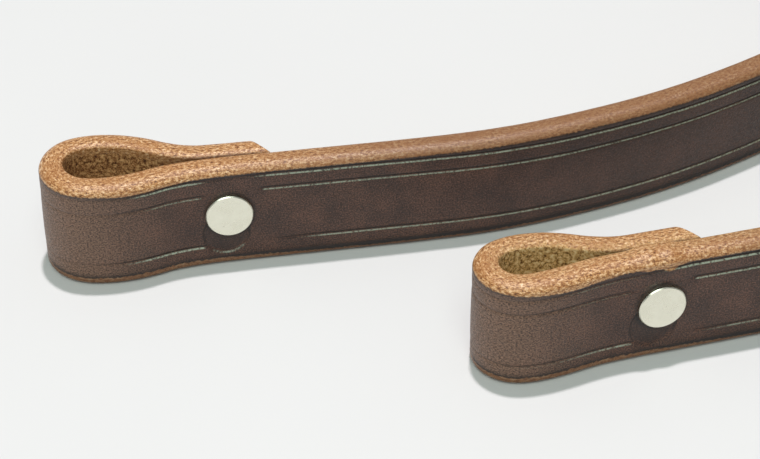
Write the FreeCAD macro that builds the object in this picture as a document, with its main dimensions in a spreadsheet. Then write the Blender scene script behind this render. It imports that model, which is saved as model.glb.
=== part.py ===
import FreeCAD, Part
import math
import os

import Sketcher
from FreeCAD import Placement, Rotation, Vector

# A pair of leather split reins, standing on edge on a flat surface. Each rein is one strap
# whose bit end is folded back on itself and held by a Chicago screw (a post and a screw).
# +X runs along the reins away from the bit, +Y from the right rein to the left one, +Z up.
# The origin lies on the surface, under the axis of the left rein's screw.
# In a rein's own frame, u runs along the doubled strap away from the bit, v across it, from
# the grain face to the folded tail, and the two layers meet at v = 0.

DIMENSIONS = (
    ("strap_width", 19.0, "width of the strap, which stands on edge"),
    ("strap_thick", 4.4, "thickness of the leather"),
    ("strap_length", 2130.0, "length that each strap was cut to"),
    ("edge_round", 0.9, "rounding of the strap's long edges"),
    ("layer_slit", 0.05, "gap between the doubled layers"),
    ("tail_reach", 7.8, "tail tip beyond the screw"),
    ("tail_skive", 3.2, "length of the tail's bevelled end"),
    ("flex_reach", 11.0, "place beyond the screw where the single strap bends"),
    ("joint_gap", 0.3, "gap round the rounded end of a strap that bends"),
    ("near_blend", 5.0, "where the near layer leaves the tail, before the screw"),
    ("far_blend", 2.0, "where the tail leaves the near layer, before the screw"),
    ("left_bend_radius", 6.35, "middle of the leather in the left loop's bend"),
    ("left_bend_back", 22.0, "left loop's bend, before the screw"),
    ("left_bend_side", 1.95, "left loop's bend, towards the tail"),
    ("left_turn", 10.0, "heading of the left rein's doubled end, in degrees"),
    ("right_bend_radius", 5.4, "middle of the leather in the right loop's bend"),
    ("right_bend_back", 21.8, "right loop's bend, before the screw"),
    ("right_bend_side", 1.6, "right loop's bend, towards the tail"),
    ("right_turn", 15.5, "heading of the right rein's doubled end, in degrees"),
    ("right_screw_x", 69.5, "right screw from the left one, along X"),
    ("right_screw_y", -24.7, "right screw from the left one, along Y"),
    ("screw_height", 10.3, "screw axis above the surface"),
    ("head_radius", 4.0, "radius of both heads"),
    ("head_thick", 1.0, "thickness of both heads"),
    ("head_chamfer", 0.15, "bevel round the rim of a head"),
    ("seat_depth", 0.4, "depth that a head is pressed into the leather"),
    ("seat_gap", 0.1, "gap round a head in its seat"),
    ("head_clear", 0.02, "gap under a head"),
    ("barrel_radius", 2.5, "outside of the post's barrel"),
    ("barrel_length", 7.4, "post's barrel, under its head"),
    ("barrel_bore", 1.6, "inside of the post's barrel"),
    ("bore_floor", 0.6, "metal left between the head's face and the bore"),
    ("barrel_gap", 0.05, "gap between the barrel and the leather"),
    ("shank_radius", 1.53, "outside of the screw's shank"),
    ("shank_length", 6.4, "screw's shank, under its head"),
    ("slot_width", 1.2, "driver slot in the screw's head"),
    ("slot_depth", 0.5, "depth of the driver slot"),
    ("coil_radius", 107.0, "outermost turn of the left rein in the roll"),
    ("coil_step", 5.0, "spacing of neighbouring straps in the roll"),
    ("right_joins_at", 34.0, "where the right rein joins the roll, degrees before its +X side"),
    ("right_last_run", 44.0, "straight run before the right rein joins the roll"),
)

doc = FreeCAD.newDocument("SplitReins")
sheet = doc.addObject("Spreadsheet::Sheet", "Dimensions")
for row, (alias, value, meaning) in enumerate(DIMENSIONS, start=1):
    sheet.set(f"A{row}", meaning)
    sheet.set(f"B{row}", str(value))
    sheet.setAlias(f"B{row}", alias)
doc.recompute()


def size(alias):
    return float(getattr(sheet, alias))


HALF = size("strap_thick") / 2
LAYER_MIDDLE = -HALF
TAIL_MIDDLE = HALF + size("layer_slit")
CUP_RADIUS = HALF + size("joint_gap")
CUP_SETBACK = math.sqrt(CUP_RADIUS**2 - HALF**2)

# Routes of the single straps, in each rein's own frame, along the middle of the leather.
# The left one runs from the bend behind the doubled end to where it joins the roll.
LEFT_ROUTE = [
    (size("flex_reach"), LAYER_MIDDLE),
    (28.0, -2.3),
    (46.0, -2.0),
    (63.0, 0.9),
    (79.0, 5.2),
    (93.0, 10.8),
    (106.0, 17.2),
    (124.0, 24.4),
    (148.0, 31.2),
    (180.0, 36.0),
    (212.0, 37.7),
]
LEFT_SWING_RUN = 8

# The right one's last two points follow from the roll.
RIGHT_ROUTE = [
    (size("flex_reach"), LAYER_MIDDLE),
    (49.0, -1.5),
    (98.4, 5.9),
    (154.6, 26.9),
]
RIGHT_SWING_RUN = 2


# ---------------------------------------------------------------- routes and outlines


def vector_of(points):
    return [Vector(x, y, 0) for x, y in points]


def heading_of(start, end):
    return math.degrees(math.atan2(end.y - start.y, end.x - start.x))


def unit(heading):
    angle = math.radians(heading)
    return Vector(math.cos(angle), math.sin(angle), 0)


def left_of(heading):
    return unit(heading + 90)


def wrapped(angle):
    return (angle + 180) % 360 - 180


def moves_along(points):
    """Straight runs joined by tangent arcs: one list of moves for each run, arc last."""
    runs = []
    trim = 0.0
    for place, (start, corner) in enumerate(zip(points, points[1:])):
        length = start.distanceToPoint(corner)
        if place + 2 == len(points):
            runs.append([("line", length - trim)])
            break
        onward = points[place + 2]
        turn = wrapped(heading_of(corner, onward) - heading_of(start, corner))
        shorter = min(length, corner.distanceToPoint(onward))
        radius = 0.45 * shorter / math.tan(math.radians(abs(turn) / 2))
        runs.append([("line", length - trim - 0.45 * shorter), ("arc", radius, turn)])
        trim = 0.45 * shorter
    return runs


def split_at_middle(points, runs, run):
    """The moves before and after the middle of one run, which is straight there."""
    middle = (points[run] + points[run + 1]) / 2
    start_gap = 0.45 * min(
        points[run].distanceToPoint(points[run + 1]),
        points[run - 1].distanceToPoint(points[run]),
    )
    first = points[run].distanceToPoint(middle) - start_gap
    before = [move for moves in runs[:run] for move in moves] + [("line", first)]
    after = [("line", runs[run][0][1] - first)] + runs[run][1:]
    after += [move for moves in runs[run + 1 :] for move in moves]
    return before, after, middle


def length_of(moves):
    total = 0.0
    for move in moves:
        total += move[1] if move[0] == "line" else move[1] * math.radians(abs(move[2]))
    return total


def steps(start, heading, moves):
    """Each move with the point and heading that it starts from, then the last ones."""
    point = start
    for move in moves:
        yield point, heading, move
        if move[0] == "line":
            point = point + unit(heading) * move[1]
        else:
            side = math.copysign(move[1], move[2])
            centre = point + left_of(heading) * side
            heading += move[2]
            point = centre - left_of(heading) * side
    yield point, heading, None


def side_edges(start, heading, moves, offset, shorten=0.0):
    """One long side of a strap, at a distance to the left of its middle."""
    edges = []
    last = None
    for point, angle, move in steps(start, heading, moves):
        here = point + left_of(angle) * offset
        if last is None:
            here = here + unit(angle) * shorten
        elif arc is None:
            edges.append(Part.LineSegment(last, here))
        else:
            edges.append(Part.Arc(last, arc, here))
        last = here
        arc = None
        if move and move[0] == "arc":
            side = math.copysign(move[1], move[2])
            centre = point + left_of(angle) * side
            arc = centre - left_of(angle + move[2] / 2) * (side - offset)
    return edges


def cap_edge(from_point, to_point, through=None):
    if through is None:
        return Part.LineSegment(from_point, to_point)
    return Part.Arc(from_point, through, to_point)


def strap_outline(start, heading, moves, first_cap="flat", last_cap="flat", skive=0.0):
    """A closed outline round a strap's middle line. A round cap bulges by half a thickness,
    and a cup, which holds another strap's round cap, starts or stops CUP_SETBACK short."""
    left = side_edges(start, heading, moves, HALF)
    right = side_edges(start, heading, moves, -HALF, skive)
    end, end_heading, _ = list(steps(start, heading, moves))[-1]
    bulge = {"flat": None, "round": HALF, "cup": CUP_SETBACK - CUP_RADIUS}
    first = bulge[first_cap]
    last = bulge[last_cap]
    first_through = None if first is None else start - unit(heading) * first
    last_through = None if last is None else end + unit(end_heading) * last
    first_edge = cap_edge(left[0].StartPoint, right[0].StartPoint, first_through)
    last_edge = cap_edge(left[-1].EndPoint, right[-1].EndPoint, last_through)
    return left + [last_edge] + right + [first_edge]


def s_curve(run, rise):
    """Two equal arcs that shift a strap sideways by rise over a length of run."""
    turn = math.degrees(2 * math.atan(abs(rise) / run))
    radius = (run**2 + rise**2) / (4 * abs(rise))
    way = math.copysign(turn, rise)
    return [("arc", radius, way), ("arc", radius, -way)]


def loop_moves(side):
    """From the tail's tip, back round the bend, and forward to the place that flexes."""
    radius = size(f"{side}_bend_radius")
    back = size(f"{side}_bend_back")
    bend_side = size(f"{side}_bend_side")
    far_rise = bend_side + radius - TAIL_MIDDLE
    near_rise = LAYER_MIDDLE - (bend_side - radius)
    moves = [("line", size("tail_reach") + size("far_blend"))]
    moves += s_curve(back - size("far_blend"), -far_rise)
    moves += [("arc", radius, 180.0)]
    moves += s_curve(back - size("near_blend"), near_rise)
    moves += [("line", size("near_blend") + size("flex_reach") - CUP_SETBACK)]
    return moves


def roll_moves(radius, first_turn, length):
    """Half turns that step inwards, as long as the strap that is left."""
    moves = []
    turn = first_turn
    while length > 0:
        turn = min(turn, math.degrees(length / radius))
        moves.append(("arc", radius, turn))
        length -= radius * math.radians(turn)
        radius -= size("coil_step")
        turn = 180.0
    return moves


# ---------------------------------------------------------------- features of one body


def plane_of(body, role):
    return next(f for f in body.Origin.OriginFeatures if f.Role == role)


def new_body(label):
    body = doc.addObject("PartDesign::Body", label)
    body.Label = label
    return body


def flat_sketch(body, name, lift=None):
    sketch = body.newObject("Sketcher::SketchObject", name)
    sketch.AttachmentSupport = [(plane_of(body, "XY_Plane"), "")]
    sketch.MapMode = "FlatFace"
    if lift is not None:
        sketch.setExpression("AttachmentOffset.Base.z", lift)
    return sketch


def outline_sketch(body, name, edges):
    sketch = flat_sketch(body, name)
    sketch.addGeometry(edges, False)
    return sketch


def circle_sketch(body, name, radius, lift=None):
    sketch = flat_sketch(body, name, lift)
    sketch.addGeometry(Part.Circle(Vector(0, 0, 0), Vector(0, 0, 1), 1.0), False)
    sketch.addConstraint(Sketcher.Constraint("Coincident", 0, 3, -1, 1))
    sketch.addConstraint(Sketcher.Constraint("Radius", 0, 1.0))
    sketch.setExpression("Constraints[1]", radius)
    return sketch


def pad(body, name, sketch, length):
    feature = body.newObject("PartDesign::Pad", name)
    feature.Profile = sketch
    feature.setExpression("Length", length)
    return feature


def long_edges(shape):
    """The edges along the strap's top and bottom, without those across its ends."""
    names = []
    top = size("strap_width")
    for number, edge in enumerate(shape.Edges, start=1):
        box = edge.BoundBox
        level = abs(box.ZMin - box.ZMax) < 1e-6 and min(abs(box.ZMin), abs(box.ZMin - top)) < 1e-6
        if level and edge.Length > 1.5 * size("strap_thick"):
            names.append(f"Edge{number}")
    return names


def rounded_strap(label, edges, placement):
    """A strap on edge, as wide as strap_width, with its long edges rounded."""
    body = plain_strap(label, edges, placement)
    strap = body.Tip
    doc.recompute()
    rounding = body.newObject("PartDesign::Fillet", f"{label}_edges")
    rounding.Base = (strap, long_edges(strap.Shape))
    rounding.setExpression("Radius", "Dimensions.edge_round")
    return body


def plain_strap(label, edges, placement):
    body = new_body(label)
    sketch = outline_sketch(body, f"{label}_outline", edges)
    pad(body, f"{label}_strap", sketch, "Dimensions.strap_width")
    body.Placement = placement
    return body


def cut_across(body, name, radius, depth, v_expression):
    """A round hole along v, at the screw's height, that starts at v and is depth long."""
    cut = body.newObject("PartDesign::SubtractiveCylinder", name)
    cut.setExpression("Radius", radius)
    cut.setExpression("Height", depth)
    cut.Placement = Placement(Vector(0, 0, 0), Rotation(Vector(1, 0, 0), -90))
    cut.setExpression("Placement.Base.y", v_expression)
    cut.setExpression("Placement.Base.z", "Dimensions.screw_height")
    return cut


# ---------------------------------------------------------------- the pieces of one rein


def rein_frame(side):
    if side == "left":
        return Placement(Vector(0, 0, 0), Rotation(Vector(0, 0, 1), size("left_turn")))
    place = Vector(size("right_screw_x"), size("right_screw_y"), 0)
    return Placement(place, Rotation(Vector(0, 0, 1), size("right_turn")))


def make_bit_loop(side, frame):
    """The doubled bit end: tail, bend and near layer, with the screw's hole and seats."""
    start = Vector(size("tail_reach"), TAIL_MIDDLE, 0)
    moves = loop_moves(side)
    edges = strap_outline(start, 180.0, moves, last_cap="cup", skive=size("tail_skive"))
    body = rounded_strap(f"{side}_bit_loop", edges, frame)
    cut_across(
        body,
        f"{side}_post_hole",
        "Dimensions.barrel_radius + Dimensions.barrel_gap",
        "4 * Dimensions.strap_thick",
        "-2 * Dimensions.strap_thick",
    )
    cut_across(
        body,
        f"{side}_front_seat",
        "Dimensions.head_radius + Dimensions.seat_gap",
        "2 * Dimensions.seat_depth",
        "-Dimensions.strap_thick - Dimensions.seat_depth",
    )
    cut_across(
        body,
        f"{side}_back_seat",
        "Dimensions.head_radius + Dimensions.seat_gap",
        "4 * Dimensions.seat_depth",
        "Dimensions.strap_thick + Dimensions.layer_slit - Dimensions.seat_depth",
    )
    return length_of(moves) + CUP_SETBACK


def make_head(body, name):
    """The head stands on the body's XY plane, with its outer face below it."""
    disc = circle_sketch(body, f"{name}_head_circle", "Dimensions.head_radius")
    head = pad(body, f"{name}_head", disc, "Dimensions.head_thick")
    doc.recompute()
    rim = [
        f"Edge{number}"
        for number, edge in enumerate(head.Shape.Edges, start=1)
        if abs(edge.BoundBox.ZMax) < 1e-6
    ]
    bevel = body.newObject("PartDesign::Chamfer", f"{name}_rim")
    bevel.Base = (head, rim)
    bevel.setExpression("Size", "Dimensions.head_chamfer")


def make_post(side, frame):
    """Flat head and barrel, pushed through both layers from the grain face."""
    name = f"{side}_screw_post"
    body = new_body(name)
    make_head(body, name)
    top = "Dimensions.head_thick"
    barrel = circle_sketch(body, f"{name}_barrel_circle", "Dimensions.barrel_radius", top)
    pad(body, f"{name}_barrel", barrel, "Dimensions.barrel_length")
    floor = "Dimensions.bore_floor"
    bore = body.newObject("PartDesign::SubtractiveCylinder", f"{name}_bore")
    bore.setExpression("Radius", "Dimensions.barrel_bore")
    bore.setExpression("Height", "Dimensions.barrel_length + Dimensions.head_thick")
    bore.setExpression("Placement.Base.z", floor)
    outer_face = size("head_thick") + size("head_clear") - size("seat_depth")
    inwards = Rotation(Vector(1, 0, 0), -90)
    place = Vector(0, -size("strap_thick") - outer_face, size("screw_height"))
    body.Placement = frame.multiply(Placement(place, inwards))


def make_screw(side, frame):
    """Slotted head behind the tail, and the shank that threads into the post."""
    name = f"{side}_screw"
    body = new_body(name)
    make_head(body, name)
    top = "Dimensions.head_thick"
    shank = circle_sketch(body, f"{name}_shank_circle", "Dimensions.shank_radius", top)
    pad(body, f"{name}_shank", shank, "Dimensions.shank_length")
    slot = body.newObject("PartDesign::SubtractiveBox", f"{name}_slot")
    slot.setExpression("Length", "3 * Dimensions.head_radius")
    slot.setExpression("Width", "Dimensions.slot_width")
    slot.setExpression("Height", "2 * Dimensions.slot_depth")
    slot.setExpression("Placement.Base.x", "-1.5 * Dimensions.head_radius")
    slot.setExpression("Placement.Base.y", "-0.5 * Dimensions.slot_width")
    slot.setExpression("Placement.Base.z", "-Dimensions.slot_depth")
    outer_face = size("head_thick") + size("head_clear") - size("seat_depth")
    inwards = Rotation(Vector(1, 0, 0), 90)
    back = size("strap_thick") + size("layer_slit") + outer_face
    body.Placement = frame.multiply(Placement(Vector(0, back, size("screw_height")), inwards))


def make_run(side, frame, start, heading, moves):
    """The single strap between its two bends, with a rounded end at each."""
    edges = strap_outline(start, heading, moves, "round", "round")
    rounded_strap(f"{side}_rein_run", edges, frame)


def make_lead(side, frame, swing, heading, moves):
    """The strap from the cup round the run's end to where it joins the roll."""
    start = swing + unit(heading) * CUP_SETBACK
    first = ("line", moves[0][1] - CUP_SETBACK)
    edges = strap_outline(start, heading, [first] + moves[1:], "cup", "flat")
    plain_strap(f"{side}_rein_lead", edges, frame)


def make_roll(side, frame, start, heading, moves):
    """The rest of the strap, wound into the roll that both reins share."""
    edges = strap_outline(start, heading, moves)
    plain_strap(f"{side}_rein_roll", edges, frame)


def print_radii(side, runs):
    radii = [move[1] for moves in runs for move in moves if move[0] == "arc"]
    print(side, "route radii, mm:", [round(radius) for radius in radii])


def make_rein(side, points, swing_run, radius, first_turn):
    frame = rein_frame(side)
    looped = make_bit_loop(side, frame)
    make_post(side, frame)
    make_screw(side, frame)
    runs = moves_along(points)
    before, after, swing = split_at_middle(points, runs, swing_run)
    swing_heading = heading_of(points[swing_run], points[swing_run + 1])
    make_run(side, frame, points[0], heading_of(points[0], points[1]), before)
    make_lead(side, frame, swing, swing_heading, after)
    left_over = size("strap_length") - looped - length_of(before) - length_of(after)
    rolled = roll_moves(radius, first_turn, left_over)
    make_roll(side, frame, points[-1], heading_of(points[-2], points[-1]), rolled)
    print_radii(side, runs)
    print(side, "loop", round(looped), "rolled", round(left_over))
    print(side, "flex at", frame.multVec(points[0]), "swing at", frame.multVec(swing))
    return {"run": length_of(before), "lead": length_of(after), "roll": left_over}


# ---------------------------------------------------------------- both reins

left_points = vector_of(LEFT_ROUTE)
left_frame = rein_frame("left")
left_end = left_points[-1]
left_end_heading = heading_of(left_points[-2], left_end)
roll_centre = left_frame.multVec(left_end + left_of(left_end_heading) * size("coil_radius"))
left_first_turn = 90 - size("left_turn") - left_end_heading

right_frame = rein_frame("right")
right_radius = size("coil_radius") + size("coil_step")
joins_heading = 90 - size("right_joins_at")
joins = roll_centre - left_of(joins_heading) * right_radius
last_corner = joins - unit(joins_heading) * size("right_last_run")
to_right = right_frame.inverse()
right_points = vector_of(RIGHT_ROUTE) + [to_right.multVec(last_corner), to_right.multVec(joins)]

lengths = {
    "left": make_rein("left", left_points, LEFT_SWING_RUN, size("coil_radius"), left_first_turn),
    "right": make_rein(
        "right", right_points, RIGHT_SWING_RUN, right_radius, size("right_joins_at")
    ),
}
print("roll centre", roll_centre)

doc.recompute()

# ---------------------------------------------------------------- checks, then the files

failed = [item.Name for item in doc.Objects if {"Invalid", "Error"} & set(item.State)]
bodies = [item for item in doc.Objects if item.TypeId == "PartDesign::Body"]
failed += [b.Label for b in bodies if b.Shape.isNull() or not b.Shape.isValid()]
failed += [b.Label for b in bodies if len(b.Shape.Solids) != 1]
if failed:
    raise RuntimeError(f"failed: {failed}")

section = size("strap_width") * size("strap_thick")
for side, pieces in lengths.items():
    for piece, length in pieces.items():
        volume = doc.getObject(f"{side}_rein_{piece}").Shape.Volume
        share = volume / section / length
        print(side, piece, round(length), "mm, volume over section times length", round(share, 4))

os.makedirs("parts", exist_ok=True)
for body in bodies:
    body.Shape.exportStep(f"parts/{body.Label}.step")
    print(body.Label, "volume", round(body.Shape.Volume, 1))
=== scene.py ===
import math

import bpy
import numpy as np
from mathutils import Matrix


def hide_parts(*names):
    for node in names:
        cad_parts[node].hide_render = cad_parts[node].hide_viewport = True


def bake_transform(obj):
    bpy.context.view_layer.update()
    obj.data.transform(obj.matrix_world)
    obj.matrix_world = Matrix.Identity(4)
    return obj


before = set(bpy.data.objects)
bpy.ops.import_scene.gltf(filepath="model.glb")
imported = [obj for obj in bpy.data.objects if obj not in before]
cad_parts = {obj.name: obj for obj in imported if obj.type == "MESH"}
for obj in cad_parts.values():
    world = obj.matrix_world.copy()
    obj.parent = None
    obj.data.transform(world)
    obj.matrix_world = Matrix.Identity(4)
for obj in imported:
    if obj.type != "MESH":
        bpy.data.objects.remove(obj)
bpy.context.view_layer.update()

# A pair of leather split reins standing on edge. Lengths here are millimetres in a rein's own
# frame (u along the doubled strap away from the bit, v across it), until "placed" turns
# them into metres in the frame that the CAD model uses, here called the shared frame.

MM = 0.001
STRAP_WIDTH = 19.0
HALF_THICK = 2.2
STRAP_LENGTH = 2130.0

# The long edges are rounded: how far the rounding reaches in from each face, and how deep it
# is. The burnished top edge is half round and stands a little above the strap's flat width.
GRAIN_DOME = (1.8, 0.95)
BACK_DOME = (1.5, 0.6)
CROWN_HEIGHT = 19.5
GRAIN_CROWN = (2.1, 1.55)
BACK_CROWN = (1.4, 0.7)

SCREW_HEIGHT = 10.3

# The end of the tail is cut on a slant: how far it runs back across the thickness, and how much
# of the tail the slant takes up. Every cut end is rounded a little.
TAIL_SLANT = 3.2
SLANT_REACH = 9.0
END_ROUNDING = 0.45
END_ROUNDING_REACH = (-0.15, 0.55)

# Each rein's frame: where its screw stands, and the heading of its doubled end.
REIN_PLACE = {"left": (0.0, 0.0, 10.0), "right": (69.5, -24.7, 15.5)}

# Control points for the middle of the leather: tail, bend and near layer of the bit loop.
LOOP_ROUTE = {
    "left": [
        (7.8, 2.3), (0.5, 2.35), (-7.0, 2.6), (-16.0, 8.2), (-25.0, 8.9),
        (-28.7, 4.8), (-28.35, -0.7), (-24.6, -4.6), (-16.2, -5.0), (-8.0, -2.25),
    ],
    "right": [
        (7.8, 2.25), (0.5, 2.25), (-7.4, 2.3), (-16.4, 7.0), (-24.04, 7.0),
        (-27.2, 3.84), (-27.2, -0.64), (-24.04, -3.8), (-17.3, -3.8), (-9.0, -2.2),
    ],
}

# Control points for the single strap, from behind the doubled end to where it joins the roll.
SINGLE_ROUTE = {
    "left": [
        (11.0, -2.2), (28.0, -2.3), (46.0, -2.0), (63.0, 0.9), (79.0, 5.2), (93.0, 10.8),
        (106.0, 17.2), (124.0, 24.4), (148.0, 31.2), (180.0, 36.0), (220.8, 38.2),
    ],
    "right": [(11.0, -2.2), (49.0, -1.5), (98.4, 5.9), (154.6, 26.9)],
}

# The roll that both straps share: half turns about two centres, one strap between the turns
# of the other. Places are in the shared frame, in millimetres.
ROLL_CENTRE = (178.088, 178.181)
COIL_STEP = 5.0
HALF_TURNS = 8
POINTS_IN_A_TURN = 16
POINTS_IN_A_HALF_TURN = POINTS_IN_A_TURN // 2
FIRST_RADIUS = {"left": 107.0, "right": 112.0}
FIRST_TURN_POINTS = {"left": 3, "right": 1}

# The right strap meets its first turn at this angle, in degrees, after a run up to a corner.
RIGHT_JOINS_AT = -34.0
RIGHT_LAST_RUN = 44.0
RIGHT_LAST_CORNER = 11.28

# Where the detailed bit end stops and the long strap goes on, along the strap from the screw.
JUNCTION = {"left": 118.0, "right": 72.0}

# Two places along the rein's own frame. The bit end turns them into points in the shared frame, in
# metres, and does nothing more with them.
FLEX_START = 4.5
FLEX_END = 17.5

# Creases pressed along the grain face: places along the strap and heights there, then places
# and depths there. The fourth one is only a faint line along the bottom.
CREASES = {
    "left": [
        (
            ([-20, -5, 5, 25, 60], [17.5, 17.6, 17.75, 17.65, 17.1]),
            ([-24, -19, -15, -6, -4, 0, 4, 7], [0.07, 0.14, 0.3, 0.32, 0.2, 0.14, 0.2, 0.3]),
        ),
        (
            ([-20, -5, 5, 25, 60], [14.5, 14.5, 15.0, 14.9, 14.2]),
            ([-60, -23, -18, -13, -5, -4, 4.6, 6], [0.1, 0.1, 0.16, 0.25, 0.26, 0.02, 0.02, 0.28]),
        ),
        (
            ([-40, -20, 25, 60], [3.9, 4.3, 4.3, 3.85]),
            ([-60, -23, -18, -14, -4.8, -4, 4, 9, 16], [0.08, 0.1, 0.22, 0.34, 0.34, 0, 0, 0.15, 0.28]),
        ),
        (([0], [1.7]), ([-60, 0, 10], [0.03, 0.06, 0.1])),
    ],
    "right": [
        (
            ([-20, -5, 5], [16.9, 17.1, 17.65]),
            ([-60, -30, -22, -14, -3, 0, 2, 4], [0.06, 0.08, 0.16, 0.23, 0.2, 0.2, 0.26, 0.34]),
        ),
        (
            ([-20, -5, 5], [14.2, 14.2, 14.85]),
            ([-60, -30, -21, -16, -5.5, -4.4, 4.6, 6], [0.06, 0.1, 0.18, 0.22, 0.22, 0.06, 0.06, 0.3]),
        ),
        (
            ([0], [3.87]),
            ([-60, -29, -26, -15, -4.8, -4, 4, 7, 12], [0.05, 0.08, 0.18, 0.24, 0.3, 0, 0, 0.18, 0.26]),
        ),
        (([0], [1.7]), ([-60, 0, 10], [0.03, 0.06, 0.1])),
    ],
}
CREASE_HALF_WIDTH = 0.27
FULL_CREASE = 0.32

# Heights near which the section needs more points, because a crease runs there.
CREASE_LEVELS = (1.7, 4.05, 14.6, 17.4)

# A round dent that a pressed washer left beside the head, along the strap and up. Its wall
# slopes from a little inside its radius to a little outside, where a low lip stands.
DENT = {"left": (-0.8, 6.5), "right": (-1.1, 6.6)}
DENT_RADIUS = 4.15
DENT_DEPTH = 0.34
DENT_WALL_INSIDE = 0.45
DENT_WALL_OUTSIDE = 0.1
DENT_LIP_RISE = 0.10
DENT_LIP_OUTSIDE = 0.35
DENT_LIP_WIDTH = 0.3

# Other relief of the grain face: the soft swell between the creases, the leather drawn down
# round the head, and fine upright wrinkles where the strap bends round into the loop, each
# way given as a middle and a reach.
FACE_RIPPLE = 0.05
SWELL_RISE = 0.10
SWELL_HEIGHT = 8.8
SWELL_HALF_HEIGHT = 5.4
SEAT_SAG = 0.12
SEAT_SAG_WIDTH = 0.9
WRINKLE_DEPTH = 0.09
WRINKLES_ALONG = (-17.5, 3.2)
WRINKLES_UP = (9.5, 6.5)

# The edges' unevenness, and how much closer together its ripples are than the face's.
EDGE_RIPPLE = 0.02
EDGE_RIPPLE_SQUEEZE = 1.7

# The top edge's mashed lobes, over the grain face: place along the strap, reach, how far each
# one stands up, and how far the tan edge comes down there.
LOBE = {
    "left": [(-14.0, 6.0, 0.1, 0.6)],
    "right": [(-15.5, 7.0, 0.1, 0.7), (-2.2, 1.6, 0.55, 0.6), (1.2, 1.7, 0.6, 1.15)],
}

# The heads' seats and the hole through both layers, with the slit between the layers.
SEAT_RADIUS = 4.1
SEAT_DEPTH = 0.4
HOLE_RADIUS = 2.55
LAYER_SLIT = 0.05
CUTTER_SIDES = 96
CUTTER_SPARE = 2.0

# The leather is pinched thinner where it bends round: place along the strap, reach, and depth.
PINCH = {"left": (-30.5, 6.0, 0.5), "right": (-29.5, 6.0, 0.4)}

# How near the flesh side's tufts come to the middle of the edge and to the top, on each rein,
# and to the bottom.
FLESH_REACH = {"left": (0.8, 1.4), "right": (0.1, 0.35)}
FLESH_BOTTOM = 1.0

# The dye stops short of the top and the bottom edge, and where the face rounds over. Along the
# bottom it comes lower behind the screw, gradually, between two places along the strap.
DYE_BORDER = 1.3
DYE_BOTTOM = 1.5
DYE_BOTTOM_DROP = 0.5
DYE_BOTTOM_DROPS = (-8.0, 20.0)
DYE_ROUND = 0.9

# Across the thickness a border is this much sharper than along a face.
ROUND_STEEPNESS = 2.0

# Tones painted on the leather: painted highlights above 0; painted shade, and the strap darker towards
# the bottom, below 0.
# A painted highlight, a glint, along the lower lip of each crease that is deep enough.
SHINE_STARTS = 0.4
SHINE_MOST = 1.1
SHINE_BELOW = -0.28
SHINE_WIDTH = 0.17
# Painted shade just above each crease's middle, on the wall that faces down.
CREASE_DARK = 0.9
CREASE_DARK_ABOVE = 0.10
CREASE_DARK_WIDTH = 0.26
# A painted highlight on the dent's lower rim, painted shade on its upper rim, and a painted shadow over
# its floor.
DENT_RIM_SHINE = {"left": 0.6, "right": 0.12}
DENT_RIM_DARK = 0.8
DENT_RIM_INSIDE = 0.15
DENT_RIM_WIDTH = 0.2
DENT_RIM_LOWER = (1.0, 3.2)
DENT_RIM_SHINES_FROM = 2.5
DENT_FLOOR_DARK = 0.45
DENT_FLOOR_EDGE = (0.7, 0.2)
# Painted shade in the hollows of the wrinkles.
WRINKLE_DARK = 0.5
# A painted shadow in a ring round the head.
HEAD_DARK = 0.6
HEAD_DARK_WIDTH = 0.45
# The strap is darker towards the bottom, below these heights.
BOTTOM_DARKENING = 0.7
BOTTOM_DARKENING_HEIGHTS = (2.1, 1.4)
SEAM_SHADE = 0.9
SEAM_REACH = 9.0

# How far apart the stations along a strap are: at the tail's cut end, near the screw, on the
# rest of the bit end, and on the long strap before and after a place along it.
TAIL_END_LENGTH = 0.8
TAIL_END_STEP = 0.14
NEAR_SCREW = 6.5
NEAR_SCREW_STEP = 0.3
BIT_END_STEP = 0.45
LONG_STEP_CHANGES_AT = 175.0
LONG_STEPS = (1.2, 3.2)
SHORTEST_LAST_STEP = 0.3
SHARP_ANGLE = 42


# ---------------------------------------------------------------- places


def placed(side, points):
    """Points in a rein's frame, in millimetres, as points in the shared frame, in metres."""
    x, y, heading = REIN_PLACE[side]
    turn = math.radians(heading)
    cos, sin = math.cos(turn), math.sin(turn)
    points = np.asarray(points, float)
    made = points * MM
    made[..., 0] = (x + points[..., 0] * cos - points[..., 1] * sin) * MM
    made[..., 1] = (y + points[..., 0] * sin + points[..., 1] * cos) * MM
    return made


def in_rein_frame(side, points):
    """Points in the shared frame, in millimetres, as points in a rein's frame."""
    x, y, heading = REIN_PLACE[side]
    turn = math.radians(heading)
    made = []
    for px, py in points:
        dx, dy = px - x, py - y
        along = dx * math.cos(turn) + dy * math.sin(turn)
        made.append((along, dy * math.cos(turn) - dx * math.sin(turn)))
    return made


def on_circle(centre, radius, degrees):
    angle = math.radians(degrees)
    return (centre[0] + radius * math.cos(angle), centre[1] + radius * math.sin(angle))


def roll_points(side):
    """Control points of the roll, in the shared frame. A NURBS of order 3 runs inside its
    control points, nearer in some places than in others, so they stand outside the turns by
    what makes the mean of its nearest and its furthest radius right."""
    step = 360.0 / POINTS_IN_A_TURN
    cos_step = math.cos(math.radians(step))
    cos_half_step = math.cos(math.radians(step / 2))
    outside = 2.0 / (0.75 + 0.25 * cos_step + cos_half_step)
    radius = FIRST_RADIUS[side]
    points = []
    angle = -step * (FIRST_TURN_POINTS[side] - 0.5)
    for _ in range(FIRST_TURN_POINTS[side]):
        points.append(on_circle(ROLL_CENTRE, radius * outside, angle))
        angle += step
    for half_turn in range(HALF_TURNS):
        radius -= COIL_STEP
        shift = COIL_STEP if half_turn % 2 == 0 else 0.0
        centre = (ROLL_CENTRE[0] + shift, ROLL_CENTRE[1])
        for _ in range(POINTS_IN_A_HALF_TURN):
            points.append(on_circle(centre, radius * outside, angle))
            angle += step
    return points


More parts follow.
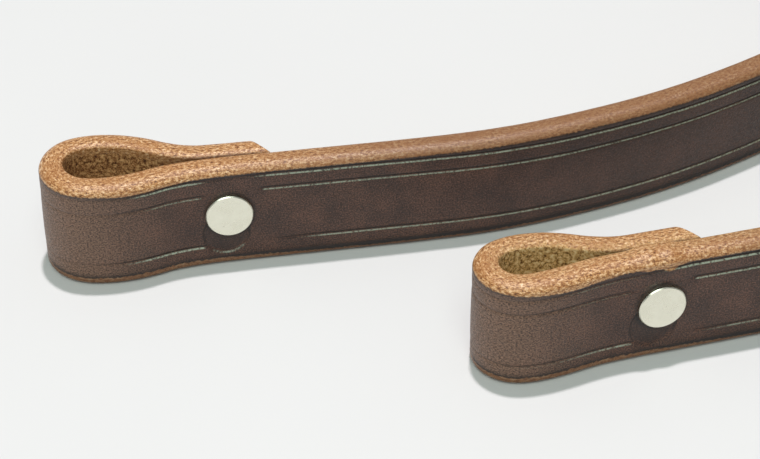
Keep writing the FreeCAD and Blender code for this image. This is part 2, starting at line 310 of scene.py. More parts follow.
def right_joining_points():
    """Where the right strap meets the roll, and the corner before it."""
    joins = on_circle(ROLL_CENTRE, FIRST_RADIUS["right"], RIGHT_JOINS_AT)
    heading = math.radians(RIGHT_JOINS_AT + 90)
    ahead = (math.cos(heading), math.sin(heading))
    before = (joins[0] - RIGHT_LAST_RUN * ahead[0], joins[1] - RIGHT_LAST_RUN * ahead[1])
    corner = (joins[0] + RIGHT_LAST_CORNER * ahead[0], joins[1] + RIGHT_LAST_CORNER * ahead[1])
    return [before, corner]


# ---------------------------------------------------------------- camera

CAMERA_TARGET = (0.0260, -0.00751, 0.0095)
CAMERA_DISTANCE = 0.3666
CAMERA_PITCH = math.radians(36.4)
CAMERA_LENS = 104.21
CAMERA_SENSOR = 36.0
CAMERA_NEAR = 0.01
CAMERA_FAR = 50.0

camera_data = bpy.data.cameras.new("camera")
camera_data.lens = CAMERA_LENS
camera_data.sensor_width = CAMERA_SENSOR
camera_data.clip_start = CAMERA_NEAR
camera_data.clip_end = CAMERA_FAR
camera = bpy.data.objects.new("camera", camera_data)
bpy.context.scene.collection.objects.link(camera)
camera.location = (
    CAMERA_TARGET[0],
    CAMERA_TARGET[1] - math.cos(CAMERA_PITCH) * CAMERA_DISTANCE,
    CAMERA_TARGET[2] + math.sin(CAMERA_PITCH) * CAMERA_DISTANCE,
)
camera.rotation_euler = (math.pi / 2 - CAMERA_PITCH, 0.0, 0.0)
bpy.context.scene.camera = camera


# ---------------------------------------------------------------- straps' routes


ROUTE_RESOLUTION = 40


def spline_points(name, route):
    """A smooth NURBS that the route's points control, read back as points in millimetres."""
    data = bpy.data.curves.new(name, "CURVE")
    data.dimensions = "3D"
    data.resolution_u = ROUTE_RESOLUTION
    spline = data.splines.new("NURBS")
    spline.points.add(len(route) - 1)
    for point, (u, v) in zip(spline.points, route):
        point.co = (u, v, 0.0, 1.0)
    spline.order_u = 3
    spline.use_endpoint_u = True
    line = bpy.data.objects.new(name, data)
    mesh = bpy.data.meshes.new_from_object(line)
    points = np.array([vertex.co[:2] for vertex in mesh.vertices])
    bpy.data.meshes.remove(mesh)
    bpy.data.objects.remove(line)
    bpy.data.curves.remove(data)
    return points


class Path:
    """A strap's middle line, measured along its length."""

    def __init__(self, side):
        ends = roll_points(side)
        if side == "right":
            ends = right_joining_points() + ends
        route = LOOP_ROUTE[side] + SINGLE_ROUTE[side] + in_rein_frame(side, ends)
        self.points = spline_points(f"{side}_route", route)
        steps = np.linalg.norm(np.diff(self.points, axis=0), axis=1)
        self.along = np.concatenate([[0.0], np.cumsum(steps)])
        ahead = np.gradient(self.points, axis=0)
        self.ahead = ahead / np.linalg.norm(ahead, axis=1)[:, None]
        self.screw = self.nearest((0.0, -HALF_THICK))
        self.tail_screw = self.nearest((0.0, HALF_THICK + LAYER_SLIT))

    def nearest(self, point):
        return self.along[np.argmin(np.linalg.norm(self.points - np.array(point), axis=1))]

    def at(self, along):
        """Places, and the directions out of the grain face, at distances along the strap."""
        u = np.interp(along, self.along, self.points[:, 0])
        v = np.interp(along, self.along, self.points[:, 1])
        ahead_u = np.interp(along, self.along, self.ahead[:, 0])
        ahead_v = np.interp(along, self.along, self.ahead[:, 1])
        size = np.hypot(ahead_u, ahead_v)
        return u, v, ahead_v / size, -ahead_u / size


# ---------------------------------------------------------------- a strap's section


def grain_heights(fine, coarse, band):
    """Heights on the grain face, from bottom to top, closer together at the creases."""
    heights = [GRAIN_DOME[1]]
    top = CROWN_HEIGHT - GRAIN_CROWN[1]
    while heights[-1] < top:
        near = min(abs(heights[-1] - level) for level in CREASE_LEVELS)
        heights.append(heights[-1] + (fine if near < band else coarse))
    heights[-1] = top
    return np.array(heights)


def section(heights, corner_count, back_count):
    """A rounded section, from the bottom up the grain face, over the top and down the back.
    Gives across (out of the grain face), height, and the outward direction of each point."""
    points = []

    def corner(way, level, dome, start):
        """A quarter of an ellipse, that reaches in from one face and up or down to level."""
        n_centre = way * (HALF_THICK - dome[0])
        rising = 1 if 0 <= start < 180 else -1
        z_centre = level - rising * dome[1]
        for angle in np.radians(np.linspace(0, 90, corner_count + 1) + start):
            cos, sin = math.cos(angle), math.sin(angle)
            out = np.array([cos / dome[0], sin / dome[1]])
            out /= np.linalg.norm(out)
            points.append((n_centre + dome[0] * cos, z_centre + dome[1] * sin, *out))

    corner(1, 0.0, GRAIN_DOME, -90)
    points += [(HALF_THICK, z, 1.0, 0.0) for z in heights[1:-1]]
    corner(1, CROWN_HEIGHT, GRAIN_CROWN, 0)
    corner(-1, CROWN_HEIGHT, BACK_CROWN, 90)
    back_heights = np.linspace(CROWN_HEIGHT - BACK_CROWN[1], BACK_DOME[1], back_count)
    points += [(-HALF_THICK, z, -1.0, 0.0) for z in back_heights[1:-1]]
    corner(-1, 0.0, BACK_DOME, 180)
    return np.array(points)


def smooth_between(low, high, value):
    """A smooth rise from 0 at low to 1 at high. With high below low, it is a fall."""
    t = np.clip((value - low) / (high - low), 0.0, 1.0)
    return t * t * (3 - 2 * t)


def bump_at(value, place, width):
    """1 at a place, and nearly 0 from twice the width away."""
    return np.exp(-(((value - place) / width) ** 2))


def ripple(along, height, seed):
    """Gentle unevenness of hand-worked leather, from -1 to 1: three waves whose lengths don't
    fit one another, so that their sum doesn't visibly repeat."""
    first = np.sin(along / 2.3 + 1.7 * seed) * np.cos(height / 3.1 + 0.6 * seed)
    second = np.sin(along / 5.9 + 2.1 * seed + height / 4.7)
    third = np.sin(along / 1.13 + 0.4 * seed - height / 2.3)
    return (first + second + 0.5 * third) / 2.5


def wrinkles(along, height):
    """Fine upright wrinkles where the strap bends round into the loop, from -1 to 1."""
    reach = bump_at(along, *WRINKLES_ALONG) * bump_at(height, *WRINKLES_UP)
    return reach * np.sin(along * 5.1 + np.sin(height * 0.9) * 1.4 + 0.8 * np.sin(height * 2.7))


def grain_relief(side, along, height):
    """How far the grain face stands out of the flat, at places along from the screw."""
    relief = FACE_RIPPLE * ripple(along, height, 1.0)
    from_swell = height - SWELL_HEIGHT
    in_swell = np.abs(from_swell) < SWELL_HALF_HEIGHT
    relief += SWELL_RISE * (1 - (from_swell / SWELL_HALF_HEIGHT) ** 2) * in_swell
    for levels, depths in CREASES[side]:
        below = height - np.interp(along, *levels)
        relief -= np.interp(along, *depths) * bump_at(below, 0.0, CREASE_HALF_WIDTH)
    dent_along, dent_height = DENT[side]
    reach = np.hypot(along - dent_along, height - dent_height)
    wall_foot = DENT_RADIUS - DENT_WALL_INSIDE
    wall_top = DENT_RADIUS + DENT_WALL_OUTSIDE
    relief -= DENT_DEPTH * (1 - smooth_between(wall_foot, wall_top, reach))
    relief += DENT_LIP_RISE * bump_at(reach, DENT_RADIUS + DENT_LIP_OUTSIDE, DENT_LIP_WIDTH)
    from_screw = np.hypot(along, height - SCREW_HEIGHT)
    relief -= SEAT_SAG * bump_at(from_screw, SEAT_RADIUS, SEAT_SAG_WIDTH)
    return relief + WRINKLE_DEPTH * wrinkles(along, height)


def edge_relief(side, along, height):
    """How far the burnished edges stand out: slightly uneven, with the mashed lobes."""
    relief = EDGE_RIPPLE * ripple(along * EDGE_RIPPLE_SQUEEZE, height, 2.0)
    for place, width, rise, _ in LOBE[side]:
        relief += rise * bump_at(along, place, width) * (height > STRAP_WIDTH / 2)
    return relief


def crease_tone(side, along, height):
    """A painted highlight along the lower lip of each crease and on the dent's lower rim, above 0, and
    painted shade in the creases, in the dent, in the wrinkles' hollows and round the head, below 0."""
    tone = np.zeros_like(height)
    for levels, depths in CREASES[side][:3]:
        strength = np.interp(along, *depths) / FULL_CREASE
        shine = np.clip((strength - SHINE_STARTS) / (1 - SHINE_STARTS), 0.0, SHINE_MOST)
        below = height - np.interp(along, *levels)
        tone += shine * bump_at(below, SHINE_BELOW, SHINE_WIDTH)
        tone -= CREASE_DARK * strength * bump_at(below, CREASE_DARK_ABOVE, CREASE_DARK_WIDTH)
    # painted highlight on the dent's lower rim, painted shade on its upper rim, painted shadow over its
    # floor
    dent_along, dent_height = DENT[side]
    reach = np.hypot(along - dent_along, height - dent_height)
    lower = smooth_between(*DENT_RIM_LOWER, dent_height - height)
    rim = bump_at(reach, DENT_RADIUS - DENT_RIM_INSIDE, DENT_RIM_WIDTH)
    shines = along > dent_along - DENT_RIM_SHINES_FROM
    tone += DENT_RIM_SHINE[side] * rim * lower * shines
    tone -= DENT_RIM_DARK * rim * (1 - lower)
    floor_inner, floor_outer = (DENT_RADIUS - inside for inside in DENT_FLOOR_EDGE)
    tone -= DENT_FLOOR_DARK * (1 - smooth_between(floor_inner, floor_outer, reach))
    # painted shade in the wrinkles' hollows, and a painted shadow round the head
    from_screw = np.hypot(along, height - SCREW_HEIGHT)
    tone += WRINKLE_DARK * np.minimum(wrinkles(along, height), 0.0)
    return tone - HEAD_DARK * bump_at(from_screw, SEAT_RADIUS, HEAD_DARK_WIDTH)


def dye_depth(side, along, across, height):
    """Distance inside the dyed grain face, negative on the tan edges and the back."""
    lobe = 0.0
    for place, width, _, drop in LOBE[side]:
        lobe = lobe + drop * bump_at(along, place, width)
    top = CROWN_HEIGHT - DYE_BORDER - lobe - height
    bottom = height - DYE_BOTTOM + DYE_BOTTOM_DROP * smooth_between(*DYE_BOTTOM_DROPS, along)
    front = (across - DYE_ROUND) * ROUND_STEEPNESS
    return np.minimum(np.minimum(top, bottom), front)


def flesh_depth(side, across, height):
    """Distance inside the rough back of the leather, negative elsewhere."""
    inwards, downwards = FLESH_REACH[side]
    edges = np.minimum(CROWN_HEIGHT - downwards - height, height - FLESH_BOTTOM)
    return np.minimum(edges, (-across - inwards) * ROUND_STEEPNESS)


def end_inset(from_start, to_stop, first_end, last_end):
    """How far the surface draws in at a cut end, which rounds it."""
    inset = np.zeros_like(from_start)
    if first_end != "joined":
        inset += END_ROUNDING * (1 - smooth_between(*END_ROUNDING_REACH, from_start))
    if last_end != "joined":
        inset += END_ROUNDING * (1 - smooth_between(*END_ROUNDING_REACH, to_stop))
    return inset


def pinch_relief(side, from_screw, out_n):
    """How far the flesh side draws in where the leather bends round."""
    place, reach, depth = PINCH[side]
    on_flesh = smooth_between(0.2, 1.0, -out_n)
    return on_flesh * depth * bump_at(from_screw, place, reach)


def seam_shade(path, along, from_screw, out_n):
    """Shade between the two layers, near the screw on either of them."""
    from_tail_screw = along - path.tail_screw
    near_layer = bump_at(from_screw, 0.0, SEAM_REACH)
    doubled = np.maximum(near_layer, bump_at(from_tail_screw, 0.0, SEAM_REACH))
    return SEAM_SHADE * doubled * smooth_between(0.3, 0.95, -out_n)


def closed_faces(count, ring):
    """Quads between rings of points, one ring for each station, and a face over each end."""
    row = np.arange(count - 1)[:, None] * ring
    here = np.arange(ring)[None, :]
    onward = (here + 1) % ring
    corners = [row + here, row + ring + here, row + ring + onward, row + onward]
    faces = np.stack(corners, axis=-1).reshape(-1, 4).tolist()
    faces.append(list(range(ring)))
    faces.append([(count - 1) * ring + place for place in reversed(range(ring))])
    return faces


def strap_mesh(name, side, path, stations, shape, first_end, last_end):
    """A closed mesh along the strap. An end is "cut", "slant" for the tail, or "joined"."""
    count = len(stations)
    across = np.repeat(shape[None, :, 0], count, axis=0)
    height = np.repeat(shape[None, :, 1], count, axis=0)
    out_n = np.repeat(shape[None, :, 2], count, axis=0)
    out_z = np.repeat(shape[None, :, 3], count, axis=0)
    ring = shape.shape[0]
    along = np.repeat(stations[:, None], ring, axis=1)

    from_start = along - stations[0]
    inset = end_inset(from_start, stations[-1] - along, first_end, last_end)
    if first_end == "slant":
        slant = TAIL_SLANT * np.clip(1 - from_start / SLANT_REACH, 0.0, 1.0)
        along = along + slant * (across + HALF_THICK) / (2 * HALF_THICK)

    from_screw = along - path.screw
    on_grain = smooth_between(0.75, 1.0, out_n)
    on_edge = smooth_between(0.0, 0.5, np.abs(out_z))
    relief = on_grain * grain_relief(side, from_screw, height)
    relief += on_edge * edge_relief(side, from_screw, height)
    relief -= pinch_relief(side, from_screw, out_n)
    relief -= inset
    dye = dye_depth(side, from_screw, across, height)
    # the tone: painted highlights and painted shade on the grain face, the strap darker towards the
    # bottom, and painted shade between the layers
    tone = on_grain * crease_tone(side, from_screw, height)
    tone -= BOTTOM_DARKENING * smooth_between(*BOTTOM_DARKENING_HEIGHTS, height)
    tone -= seam_shade(path, along, from_screw, out_n)
    flesh = flesh_depth(side, across, height)

    # the relief moves the surface, and nothing goes below the floor
    across = across + out_n * relief
    height = np.maximum(height + out_z * relief, 0.0)
    u, v, out_u, out_v = path.at(along)
    places = np.stack([u + out_u * across, v + out_v * across, height], axis=-1)
    vertices = placed(side, places).reshape(-1, 3)
    mesh = bpy.data.meshes.new(name)
    mesh.from_pydata(vertices.tolist(), [], closed_faces(count, ring))

    # the material reads these at each point: strap_place is along the strap and round it
    steps_round = np.hypot(*np.diff(shape[:, :2], axis=0).T)
    round_section = np.concatenate([[0.0], np.cumsum(steps_round)])
    round_places = np.repeat(round_section[None, :], count, axis=0)
    strap_place = np.stack([from_screw, round_places, np.zeros_like(from_screw)], axis=-1)
    write_attribute(mesh, "dye", "FLOAT", "value", dye)
    write_attribute(mesh, "flesh", "FLOAT", "value", flesh)
    write_attribute(mesh, "crease_tone", "FLOAT", "value", tone)
    write_attribute(mesh, "strap_place", "FLOAT_VECTOR", "vector", strap_place)
    mesh.update()
    piece = bpy.data.objects.new(name, mesh)
    bpy.context.scene.collection.objects.link(piece)
    return piece


def write_attribute(mesh, name, kind, field, values):
    attribute = mesh.attributes.new(name, kind, "POINT")
    attribute.data.foreach_set(field, values.astype(np.float32).ravel())


def stations_between(start, stop, spacing):
    """Places along a strap from start to stop, where spacing(place) is the next step."""
    places = [start]
    while places[-1] < stop:
        places.append(places[-1] + spacing(places[-1]))
    if stop - places[-2] < SHORTEST_LAST_STEP * spacing(stop):
        places.pop()
    places[-1] = stop
    return np.array(places)


def smooth_by_angle(piece, degrees):
    mesh = piece.data
    mesh.shade_smooth()
    mesh.set_sharp_from_angle(angle=math.radians(degrees))


# ---------------------------------------------------------------- the screw's hole and seats


def drum(name, side, v_start, v_stop, radius):
    """A closed cylinder across the doubled strap, round the screw's axis."""
    sides = CUTTER_SIDES
    angles = np.linspace(0.0, 2 * math.pi, sides, endpoint=False)
    rims = []
    for v in (v_start, v_stop):
        v_place = np.full(sides, v)
        height = SCREW_HEIGHT + radius * np.sin(angles)
        rims.append(np.stack([radius * np.cos(angles), v_place, height], axis=-1))
    vertices = placed(side, np.concatenate(rims))
    faces = [[i, (i + 1) % sides, sides + (i + 1) % sides, sides + i] for i in range(sides)]
    faces.append(list(reversed(range(sides))))
    faces.append(list(range(sides, 2 * sides)))
    mesh = bpy.data.meshes.new(name)
    mesh.from_pydata(vertices.tolist(), [], faces)
    cutter = bpy.data.objects.new(name, mesh)
    bpy.context.scene.collection.objects.link(cutter)
    return cutter


def cut_for_screw(piece, side):
    """The through hole and the two round seats that the heads are pressed into."""
    front = -2 * HALF_THICK
    back = 2 * HALF_THICK
    cuts = [
        (3 * front, 3 * back, HOLE_RADIUS),
        (front - CUTTER_SPARE, front + SEAT_DEPTH, SEAT_RADIUS),
        (back + LAYER_SLIT - SEAT_DEPTH, back + CUTTER_SPARE, SEAT_RADIUS),
    ]
    for number, (v_start, v_stop, radius) in enumerate(cuts):
        cutter = drum(f"{piece.name}_cutter_{number}", side, v_start, v_stop, radius)
        cut = piece.modifiers.new(f"cut_{number}", "BOOLEAN")
        cut.operation = "DIFFERENCE"
        cut.solver = "EXACT"
        cut.object = cutter
        bpy.context.view_layer.update()
        evaluated = piece.evaluated_get(bpy.context.evaluated_depsgraph_get())
        made = bpy.data.meshes.new_from_object(evaluated)
        piece.modifiers.remove(cut)
        piece.data = made
        bpy.data.objects.remove(cutter)


# ---------------------------------------------------------------- materials


class Nodes:
    """Short calls for building one material's node tree."""

    def __init__(self, name):
        self.material = bpy.data.materials.new(name)
        self.material.use_nodes = True
        self.tree = self.material.node_tree
        self.shader = self.tree.nodes["Principled BSDF"]

    def new(self, kind, **settings):
        node = self.tree.nodes.new(kind)
        for key, value in settings.items():
            setattr(node, key, value)
        return node

    def link(self, output, socket):
        self.tree.links.new(output, socket)

    def put(self, socket, value):
        if isinstance(value, bpy.types.NodeSocket):
            self.link(value, socket)
        else:
            socket.default_value = value

    def attribute(self, name, output="Fac"):
        return self.new("ShaderNodeAttribute", attribute_name=name).outputs[output]

    def math(self, operation, first, second=0.0):
        node = self.new("ShaderNodeMath", operation=operation)
        self.put(node.inputs[0], first)
        self.put(node.inputs[1], second)
        return node.outputs[0]

    def scaled(self, vector, by):
        node = self.new("ShaderNodeVectorMath", operation="MULTIPLY")
        self.put(node.inputs[0], vector)
        node.inputs[1].default_value = by
        return node.outputs[0]

    def noise(self, vector, scale, detail=2.0, roughness=0.5):
        node = self.new("ShaderNodeTexNoise")
        self.put(node.inputs["Vector"], vector)
        node.inputs["Scale"].default_value = scale
        node.inputs["Detail"].default_value = detail
        node.inputs["Roughness"].default_value = roughness
        return node.outputs["Fac"]

    def cells(self, vector, scale):
        node = self.new("ShaderNodeTexVoronoi")
        self.put(node.inputs["Vector"], vector)
        node.inputs["Scale"].default_value = scale
        return node.outputs["Distance"]

    def between(self, value, low, high, to_low=0.0, to_high=1.0):
        node = self.new("ShaderNodeMapRange", interpolation_type="SMOOTHSTEP")
        self.put(node.inputs["Value"], value)
        node.inputs["From Min"].default_value = low
        node.inputs["From Max"].default_value = high
        node.inputs["To Min"].default_value = to_low
        node.inputs["To Max"].default_value = to_high
        return node.outputs["Result"]

    def ramp(self, value, stops):
        node = self.new("ShaderNodeValToRGB")
        self.put(node.inputs["Fac"], value)
        elements = node.color_ramp.elements
        while len(elements) < len(stops):
            elements.new(0.5)
        for element, (place, colour) in zip(elements, stops):
            element.position = place
            element.color = (*colour, 1.0)
        return node.outputs["Color"]

    def mix(self, share, first, second):
        """Colours, mixed by share."""
        node = self.new("ShaderNodeMix", data_type="RGBA")
        self.put(node.inputs["Factor"], share)
        self.put(node.inputs["A"], (*first, 1.0) if isinstance(first, tuple) else first)
        self.put(node.inputs["B"], (*second, 1.0) if isinstance(second, tuple) else second)
        return node.outputs["Result"]

    def tinted(self, colour, mask, share, tint):
        """The colour, mixed towards a tint by up to share, where the mask is 1."""
        return self.mix(self.math("MULTIPLY", mask, share), colour, tint)

    def blend(self, share, first, second):
        """Numbers, mixed by share."""
        node = self.new("ShaderNodeMix", data_type="FLOAT")
        self.put(node.inputs["Factor"], share)
        self.put(node.inputs["A"], first)
        self.put(node.inputs["B"], second)
        return node.outputs["Result"]

    def bump(self, height, distance, strength):
        node = self.new("ShaderNodeBump")
        self.put(node.inputs["Height"], height)
        node.inputs["Distance"].default_value = distance
        node.inputs["Strength"].default_value = strength
        self.link(node.outputs["Normal"], self.shader.inputs["Normal"])


# Shades of the leather. Where there are several, they run from dark hollows to pale tops.
DYE_SHADES = ((0.014, 0.0060, 0.0045), (0.052, 0.0225, 0.0145), (0.140, 0.0620, 0.0390))
WORN_SHADES = ((0.060, 0.030, 0.018), (0.340, 0.200, 0.132))
DULL_DYE = (0.021, 0.0085, 0.0065)
SPECK_RED = (0.24, 0.105, 0.060)
BORDER_DARK = (0.014, 0.011, 0.013)
# Painted shade on the dye, where the tone is below 0, and the strap darker towards the bottom.
PAINTED_SHADE_ON_DYE = (0.008, 0.006, 0.006)
# The painted highlight along the creases' lower lips and the dent's lower rim.
PAINTED_HIGHLIGHT = (0.42, 0.46, 0.36)
EDGE_SHADES = (
    (0.095, 0.032, 0.010),
    (0.340, 0.140, 0.045),
    (0.600, 0.310, 0.120),
    (0.880, 0.630, 0.390),
)
EDGE_CLOUD = (0.34, 0.130, 0.036)
EDGE_DULL = (0.20, 0.090, 0.042)
# Painted shade on the edges and the flesh side, where the tone is below 0, and the strap darker towards
# the bottom.
PAINTED_SHADE_ON_EDGE = (0.12, 0.045, 0.022)

# Noise on the leather: its scale, and then its detail and its roughness.
WANDER_NOISE = (1.6, 5.0, 0.65)
CLOUD_NOISE = (0.16, 3.0, 0.55)
MOTTLE_NOISE = (3.9, 4.0, 0.72)
SPECK_NOISE = (3.6, 2.0, 0.7)
BROKEN_POLISH_NOISE = (2.6, 4.0, 0.7)
FIBRE_NOISE = (1.9, 6.0, 0.8)
EDGE_CLOUD_NOISE = (0.28, 3.0)
FUZZ_NOISE = (1.35, 6.0, 0.82)
GLOSS_NOISE = (1.4, 3.0)
FINE_NOISE = (4.0, 3.0, 0.6)
PORE_SCALE = 2.2

# The edge's fibres are longer along the strap than across it.
FIBRE_STRETCH = (0.8, 1.3, 1.0)

# Where wear and dullness come and go along the strap, from the screw.
WORN_ENDS = (-32.0, -6.0)
WORN_STARTS = (-75.0, -50.0)
DYE_DULLS = (30.0, 75.0)
EDGE_DULLS = (-10.0, 38.0)
LEATHER_BUMP = 0.00013

# The nickel's and the floor's noise is in metres, unlike the leather's.
NICKEL_CLOUD_NOISE = (420.0, 3.0, 0.6)
NICKEL_PIT_NOISE = (2600.0, 2.0)
NICKEL_GRAIN_NOISE = (1500.0, 4.0, 0.6)
FLOOR_NOISE = (9.0, 3.0)
NICKEL_SHADES = ((0.75, 0.735, 0.61), (0.85, 0.835, 0.71))
NICKEL_PITS = (0.42, 0.40, 0.34)
NICKEL_BUMP = 0.00002
FLOOR_SHADES = ((0.700, 0.700, 0.703), (0.715, 0.715, 0.718))


def leather_material(name, flesh_shades):
    """Oiled bridle leather. The strap carries its place, so one material does every surface."""
    n = Nodes(name)
    place = n.attribute("strap_place", "Vector")
    dye = n.attribute("dye")
    flesh = n.attribute("flesh")
    tone = n.attribute("crease_tone")
    split = n.new("ShaderNodeSeparateXYZ")
    n.link(place, split.inputs[0])
    along = split.outputs["X"]
    wear_fades = n.between(along, *WORN_ENDS, 1.0, 0.0)
    worn = n.math("MULTIPLY", wear_fades, n.between(along, *WORN_STARTS))
    dull = n.between(along, *DYE_DULLS)

    # the dye's border wanders a little
    wander = n.math("MULTIPLY", n.math("SUBTRACT", n.noise(place, *WANDER_NOISE), 0.5), 0.9)
    is_grain = n.between(n.math("ADD", dye, wander), -0.14, 0.14)
    is_flesh = n.between(n.math("ADD", flesh, n.math("MULTIPLY", wander, 2.0)), -0.6, 0.8)

    # grain face: dark brown, cloudy, with pores and reddish specks
    cloud = n.noise(place, *CLOUD_NOISE)
    mottle = n.noise(place, *MOTTLE_NOISE)
    cloudy_mottle = n.blend(0.8, cloud, mottle)
    grain_colour = n.ramp(cloudy_mottle, list(zip((0.42, 0.50, 0.58), DYE_SHADES)))
    worn_colour = n.ramp(mottle, list(zip((0.40, 0.60), WORN_SHADES)))
    grain_colour = n.tinted(grain_colour, worn, 0.85, worn_colour)
    grain_colour = n.tinted(grain_colour, dull, 0.5, DULL_DYE)
    specks = n.between(n.noise(place, *SPECK_NOISE), 0.56, 0.68)
    grain_colour = n.tinted(grain_colour, specks, 0.45, SPECK_RED)
    border = n.between(dye, 0.0, 1.2, 1.0, 0.0)
    grain_colour = n.tinted(grain_colour, border, 0.55, BORDER_DARK)
    # painted shade where the tone is below 0: in the creases, the dent, the wrinkles, round the head
    # and between the layers; and darker towards the bottom
    dark = n.between(tone, -0.05, -0.8)
    grain_colour = n.tinted(grain_colour, dark, 0.85, PAINTED_SHADE_ON_DYE)
    # a painted highlight, broken up, along each crease's lower lip and the dent's lower rim, where the
    # tone is above 0
    broken = n.between(n.noise(place, *BROKEN_POLISH_NOISE), 0.38, 0.56, 0.12, 1.0)
    pale = n.math("MULTIPLY", n.between(tone, 0.15, 0.85), broken)
    grain_colour = n.mix(pale, grain_colour, PAINTED_HIGHLIGHT)

    # burnished edge: tan, with fibres that run along the strap
    fibre_place = n.scaled(place, FIBRE_STRETCH)
    fibres = n.noise(fibre_place, *FIBRE_NOISE)
    edge_colour = n.ramp(fibres, list(zip((0.39, 0.46, 0.53, 0.60), EDGE_SHADES)))
    edge_cloud = n.between(n.noise(place, *EDGE_CLOUD_NOISE), 0.38, 0.68)
    edge_colour = n.tinted(edge_colour, edge_cloud, 0.35, EDGE_CLOUD)
    edge_dull = n.between(along, *EDGE_DULLS)
    edge_colour = n.tinted(edge_colour, edge_dull, 0.7, EDGE_DULL)

    # flesh side: rough, with loose tufts
    fuzz = n.noise(place, *FUZZ_NOISE)
    flesh_colour = n.ramp(fuzz, list(zip((0.41, 0.50, 0.58), flesh_shades)))

    undyed = n.mix(is_flesh, edge_colour, flesh_colour)
    # painted shade on the edges and the flesh side between the layers, and darker towards the bottom,
    # where the tone is below 0
    undyed = n.tinted(undyed, dark, 0.75, PAINTED_SHADE_ON_EDGE)
    n.link(n.mix(is_grain, undyed, grain_colour), n.shader.inputs["Base Color"])

    grain_rough = n.between(n.noise(place, *GLOSS_NOISE), 0.3, 0.7, 0.40, 0.56)
    edge_rough = n.between(fibres, 0.38, 0.62, 0.42, 0.25)
    undyed_rough = n.blend(is_flesh, edge_rough, 0.95)
    n.link(n.blend(is_grain, undyed_rough, grain_rough), n.shader.inputs["Roughness"])

    pores = n.cells(place, PORE_SCALE)
    fine = n.noise(place, *FINE_NOISE)
    grain_height = n.blend(0.6, pores, fine)
    edge_height = n.math("MULTIPLY", fibres, 0.9)
    flesh_height = n.math("MULTIPLY", fuzz, 5.0)
    undyed_height = n.blend(is_flesh, edge_height, flesh_height)
    n.bump(n.blend(is_grain, undyed_height, grain_height), LEATHER_BUMP, 0.7)
    return n.material


def nickel_material():
    n = Nodes("satin_nickel")
    place = n.new("ShaderNodeTexCoord").outputs["Object"]
    cloud = n.noise(place, *NICKEL_CLOUD_NOISE)
    colour = n.ramp(cloud, list(zip((0.3, 0.7), NICKEL_SHADES)))
    pits = n.between(n.noise(place, *NICKEL_PIT_NOISE), 0.68, 0.76)
    colour = n.tinted(colour, pits, 0.4, NICKEL_PITS)
    n.link(colour, n.shader.inputs["Base Color"])
    n.shader.inputs["Metallic"].default_value = 1.0
    n.link(n.between(cloud, 0.3, 0.7, 0.24, 0.36), n.shader.inputs["Roughness"])
    n.bump(n.noise(place, *NICKEL_GRAIN_NOISE), NICKEL_BUMP, 0.3)
    return n.material


def floor_material():
    n = Nodes("pale_paper")
    place = n.new("ShaderNodeTexCoord").outputs["Object"]
    tone = n.noise(place, *FLOOR_NOISE)
    colour = n.ramp(tone, list(zip((0.3, 0.7), FLOOR_SHADES)))
    n.link(colour, n.shader.inputs["Base Color"])
    n.shader.inputs["Roughness"].default_value = 0.6
    n.shader.inputs["Specular IOR Level"].default_value = 0.25
    return n.material


# The flesh side's shades, from dark hollows to pale tufts.
FLESH_SHADES = {
    "left": ((0.085, 0.026, 0.007), (0.44, 0.195, 0.062), (0.88, 0.54, 0.24)),
    "right": ((0.130, 0.055, 0.014), (0.74, 0.440, 0.150), (0.98, 0.76, 0.42)),
}
LEATHER = {
    side: leather_material(f"{side}_leather", shades) for side, shades in FLESH_SHADES.items()
}
NICKEL = nickel_material()


# ---------------------------------------------------------------- both reins


def bit_end_spacing(path):
    def spacing(along):
        near_screw = min(abs(along - path.screw), abs(along - path.tail_screw))
        if along < TAIL_END_LENGTH:
            return TAIL_END_STEP
        return NEAR_SCREW_STEP if near_screw < NEAR_SCREW else BIT_END_STEP

    return spacing


def long_strap_spacing(path):
    def spacing(along):
        before, after = LONG_STEPS
        return before if along - path.screw < LONG_STEP_CHANGES_AT else after

    return spacing


# Steps up the grain face near a crease and elsewhere, and how near counts as near. Then the
# points round a corner, and up the back.
FINE_SECTION = section(grain_heights(0.11, 0.3, 0.85), 8, 30)
LONG_SECTION = section(grain_heights(0.2, 1.0, 0.7), 5, 9)


def make_bit_end(side, path):
    """The bit loop and the strap behind it, in full detail."""
    stop = path.screw + JUNCTION[side]
    stations = stations_between(0.0, stop, bit_end_spacing(path))
    piece = strap_mesh(f"{side}_bit_end_strap", side, path, stations, FINE_SECTION, "slant", "joined")
    cut_for_screw(piece, side)
    smooth_by_angle(piece, SHARP_ANGLE)
    piece.data.materials.clear()
    piece.data.materials.append(LEATHER[side])
    for polygon in piece.data.polygons:
        polygon.material_index = 0
    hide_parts(f"{side}_bit_loop", f"{side}_rein_run")
    middle = SCREW_HEIGHT
    start, end = placed(side, [(FLEX_START, 0.0, middle), (FLEX_END, 0.0, middle)])
    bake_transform(piece)


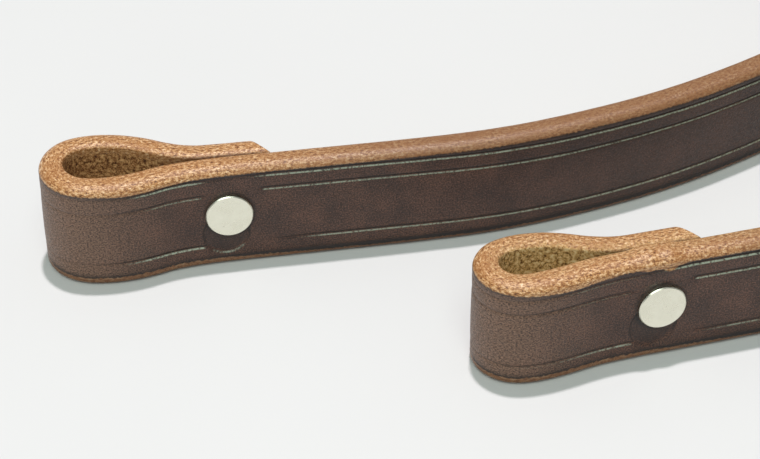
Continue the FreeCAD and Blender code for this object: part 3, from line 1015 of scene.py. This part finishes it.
def make_long_strap(side, path):
    """The rest of the strap: on from the bit end, and wound into the roll."""
    start = path.screw + JUNCTION[side]
    stations = stations_between(start, STRAP_LENGTH, long_strap_spacing(path))
    piece = strap_mesh(f"{side}_long_strap", side, path, stations, LONG_SECTION, "joined", "cut")
    smooth_by_angle(piece, SHARP_ANGLE)
    piece.data.materials.append(LEATHER[side])
    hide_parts(f"{side}_rein_lead", f"{side}_rein_roll")
    u, v, _, _ = path.at(stations)
    middle = np.full_like(u, STRAP_WIDTH / 2)
    line = placed(side, np.stack([u, v, middle], axis=-1))
    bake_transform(piece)


for side in ("left", "right"):
    path = Path(side)
    make_long_strap(side, path)
    make_bit_end(side, path)
    for part in ("screw_post", "screw"):
        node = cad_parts[f"{side}_{part}"]
        for slot in node.material_slots:
            slot.material = NICKEL


# ---------------------------------------------------------------- floor and light

FLOOR_HALF = 1.5
floor_mesh = bpy.data.meshes.new("floor")
corners = [(-1, -1), (1, -1), (1, 1), (-1, 1)]
floor_points = [(x * FLOOR_HALF, y * FLOOR_HALF, 0.0) for x, y in corners]
floor_mesh.from_pydata(floor_points, [], [(0, 1, 2, 3)])
floor = bpy.data.objects.new("floor", floor_mesh)
bpy.context.scene.collection.objects.link(floor)
floor.data.materials.append(floor_material())


# Each light's name, place, size, power and colour. They all point at one place.
LIGHT_TARGET = (0.03, 0.0, 0.0)
LIGHTS = [
    ("key", (0.05, 0.29, 2.07), 0.08, 30.0, (1.0, 0.935, 0.955)),
    ("front_fill", (-0.20, -1.50, 2.10), 1.8, 34.0, (0.87, 1.0, 0.92)),
]
ROOM_COLOUR = (0.96, 1.0, 0.985)
ROOM_STRENGTH = 0.27


def area_light(name, place, size, power, colour):
    data = bpy.data.lights.new(name, "AREA")
    data.shape = "SQUARE"
    data.size = size
    data.energy = power
    data.color = colour
    light = bpy.data.objects.new(name, data)
    bpy.context.scene.collection.objects.link(light)
    light.location = place
    way = np.array(LIGHT_TARGET) - np.array(place)
    light.rotation_euler = (
        math.atan2(math.hypot(way[0], way[1]), -way[2]),
        0.0,
        math.atan2(-way[0], way[1]),
    )


for light_settings in LIGHTS:
    area_light(*light_settings)

world = bpy.data.worlds.new("soft_room")
world.use_nodes = True
backdrop = world.node_tree.nodes["Background"]
backdrop.inputs["Color"].default_value = (*ROOM_COLOUR, 1.0)
backdrop.inputs["Strength"].default_value = ROOM_STRENGTH
bpy.context.scene.world = world
bpy.context.scene.view_settings.view_transform = "Standard"
